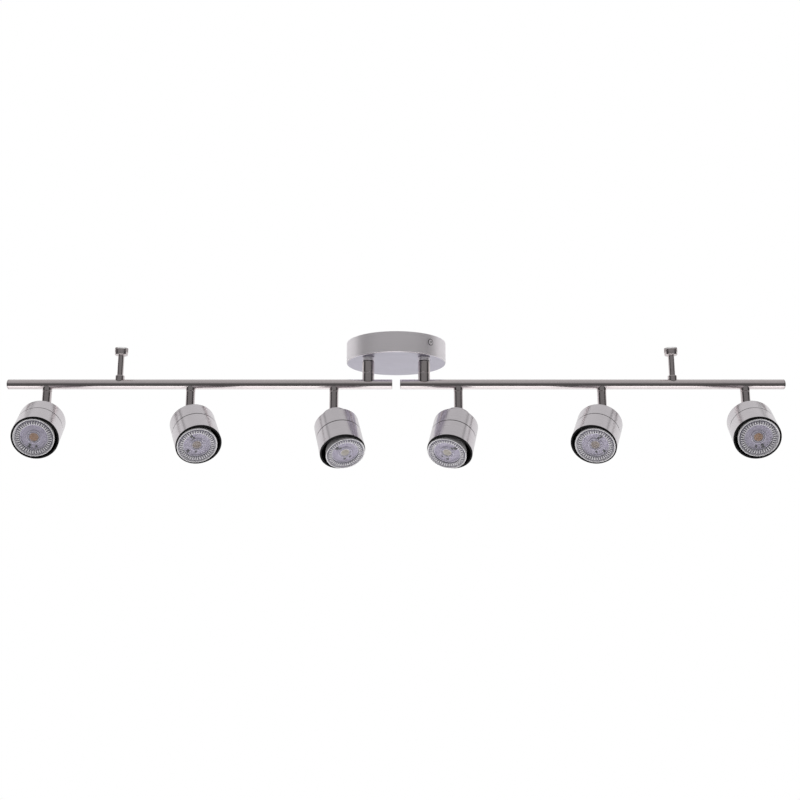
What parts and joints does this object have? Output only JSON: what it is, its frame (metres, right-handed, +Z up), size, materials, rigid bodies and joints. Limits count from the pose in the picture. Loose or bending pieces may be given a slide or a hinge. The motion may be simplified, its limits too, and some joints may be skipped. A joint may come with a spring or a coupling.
{
  "type": "track lighting fixture",
  "caption": "Ceiling track light: round canopy, swinging bar arms on posts, cylindrical spot heads that pan and tilt, ceiling support posts.",
  "frame": {"origin": "on the ceiling plane at the centre of the round canopy; the fixture hangs below it", "axes": "+X along the arms to the right end, -Y towards the side to which the arms are offset, +Z up into the ceiling"},
  "size_m": [1, 0.179, 0.1759],
  "materials": {
    "satin_nickel": "satin nickel plate over steel, brushed round the turned pieces",
    "zinc_steel": "zinc plated steel",
    "black_ring": "matt black",
    "holder": "cream white moulding",
    "lamp": "clear ribbed lens in a white body"
  },
  "bodies": {
    "root": {"canopy_cover": "satin_nickel", "ceiling_bracket": "zinc_steel", "front_cover_screw": "zinc_steel", "back_cover_screw": "zinc_steel", "left_post_collar": "satin_nickel", "right_post_collar": "satin_nickel"},
    "left_arm": {"left_bar": "satin_nickel", "left_inner_end_cap": "satin_nickel", "left_outer_end_cap": "satin_nickel", "left_arm_post": "satin_nickel", "left_support_collar": "satin_nickel", "head_1_stem_collar": "satin_nickel", "head_2_stem_collar": "satin_nickel", "head_3_stem_collar": "satin_nickel"},
    "left_support": {"left_support_post": "satin_nickel"},
    "right_arm": {"right_bar": "satin_nickel", "right_inner_end_cap": "satin_nickel", "right_outer_end_cap": "satin_nickel", "right_arm_post": "satin_nickel", "right_support_collar": "satin_nickel", "head_4_stem_collar": "satin_nickel", "head_5_stem_collar": "satin_nickel", "head_6_stem_collar": "satin_nickel"},
    "right_support": {"right_support_post": "satin_nickel"},
    "head_1_yoke": {"head_1_stem": "satin_nickel"},
    "head_1_spot": {"head_1_rear_shell": "satin_nickel", "head_1_front_sleeve": "satin_nickel", "head_1_front_ring": "black_ring", "head_1_lampholder": "holder", "head_1_lamp": "lamp"},
    "head_2_yoke": {"head_2_stem": "satin_nickel"},
    "head_2_spot": {"head_2_rear_shell": "satin_nickel", "head_2_front_sleeve": "satin_nickel", "head_2_front_ring": "black_ring", "head_2_lampholder": "holder", "head_2_lamp": "lamp"},
    "head_3_yoke": {"head_3_stem": "satin_nickel"},
    "head_3_spot": {"head_3_rear_shell": "satin_nickel", "head_3_front_sleeve": "satin_nickel", "head_3_front_ring": "black_ring", "head_3_lampholder": "holder", "head_3_lamp": "lamp"},
    "head_4_yoke": {"head_4_stem": "satin_nickel"},
    "head_4_spot": {"head_4_rear_shell": "satin_nickel", "head_4_front_sleeve": "satin_nickel", "head_4_front_ring": "black_ring", "head_4_lampholder": "holder", "head_4_lamp": "lamp"},
    "head_5_yoke": {"head_5_stem": "satin_nickel"},
    "head_5_spot": {"head_5_rear_shell": "satin_nickel", "head_5_front_sleeve": "satin_nickel", "head_5_front_ring": "black_ring", "head_5_lampholder": "holder", "head_5_lamp": "lamp"},
    "head_6_yoke": {"head_6_stem": "satin_nickel"},
    "head_6_spot": {"head_6_rear_shell": "satin_nickel", "head_6_front_sleeve": "satin_nickel", "head_6_front_ring": "black_ring", "head_6_lampholder": "holder", "head_6_lamp": "lamp"}
  },
  "joints": [
    {"name": "left_arm_swing", "type": "hinge", "parent": "root", "child": "left_arm", "pos_m": [-0.036, -0.038, -0.0325], "axis": [0, 0, 1], "range_deg": [-90, 90]},
    {"name": "left_support_rise", "type": "slide", "parent": "left_arm", "child": "left_support", "axis": [0, 0, 1], "range_m": [0, 0.009]},
    {"name": "right_arm_swing", "type": "hinge", "parent": "root", "child": "right_arm", "pos_m": [0.036, -0.038, -0.0325], "axis": [0, 0, 1], "range_deg": [-90, 90]},
    {"name": "right_support_rise", "type": "slide", "parent": "right_arm", "child": "right_support", "axis": [0, 0, 1], "range_m": [0, 0.009]},
    {"name": "head_1_pan", "type": "hinge", "parent": "left_arm", "child": "head_1_yoke", "pos_m": [-0.449, -0.038, -0.0732], "axis": [0, 0, 1], "range_deg": [-175, 175]},
    {"name": "head_1_tilt", "type": "hinge", "parent": "head_1_yoke", "child": "head_1_spot", "pos_m": [-0.449, -0.038, -0.1022], "axis": [-0.9871, -0.1599, 0], "range_deg": [-54.8, 30.2]},
    {"name": "head_2_pan", "type": "hinge", "parent": "left_arm", "child": "head_2_yoke", "pos_m": [-0.2645, -0.038, -0.0732], "axis": [0, 0, 1], "range_deg": [-175, 175]},
    {"name": "head_2_tilt", "type": "hinge", "parent": "head_2_yoke", "child": "head_2_spot", "pos_m": [-0.2645, -0.038, -0.1022], "axis": [-0.9026, -0.4305, 0], "range_deg": [-47.8, 37.2]},
    {"name": "head_3_pan", "type": "hinge", "parent": "left_arm", "child": "head_3_yoke", "pos_m": [-0.08, -0.038, -0.0732], "axis": [0, 0, 1], "range_deg": [-175, 175]},
    {"name": "head_3_tilt", "type": "hinge", "parent": "head_3_yoke", "child": "head_3_spot", "pos_m": [-0.08, -0.038, -0.1022], "axis": [-0.9466, -0.3223, 0], "range_deg": [-38.4, 46.6]},
    {"name": "head_4_pan", "type": "hinge", "parent": "right_arm", "child": "head_4_yoke", "pos_m": [0.08, -0.038, -0.0732], "axis": [0, 0, 1], "range_deg": [-175, 175]},
    {"name": "head_4_tilt", "type": "hinge", "parent": "head_4_yoke", "child": "head_4_spot", "pos_m": [0.08, -0.038, -0.1022], "axis": [-0.9466, 0.3223, 0], "range_deg": [-38.4, 46.6]},
    {"name": "head_5_pan", "type": "hinge", "parent": "right_arm", "child": "head_5_yoke", "pos_m": [0.2645, -0.038, -0.0732], "axis": [0, 0, 1], "range_deg": [-175, 175]},
    {"name": "head_5_tilt", "type": "hinge", "parent": "head_5_yoke", "child": "head_5_spot", "pos_m": [0.2645, -0.038, -0.1022], "axis": [-0.9026, 0.4305, 0], "range_deg": [-47.8, 37.2]},
    {"name": "head_6_pan", "type": "hinge", "parent": "right_arm", "child": "head_6_yoke", "pos_m": [0.449, -0.038, -0.0732], "axis": [0, 0, 1], "range_deg": [-175, 175]},
    {"name": "head_6_tilt", "type": "hinge", "parent": "head_6_yoke", "child": "head_6_spot", "pos_m": [0.449, -0.038, -0.1022], "axis": [-0.9871, 0.1599, 0], "range_deg": [-54.8, 30.2]}
  ]
}
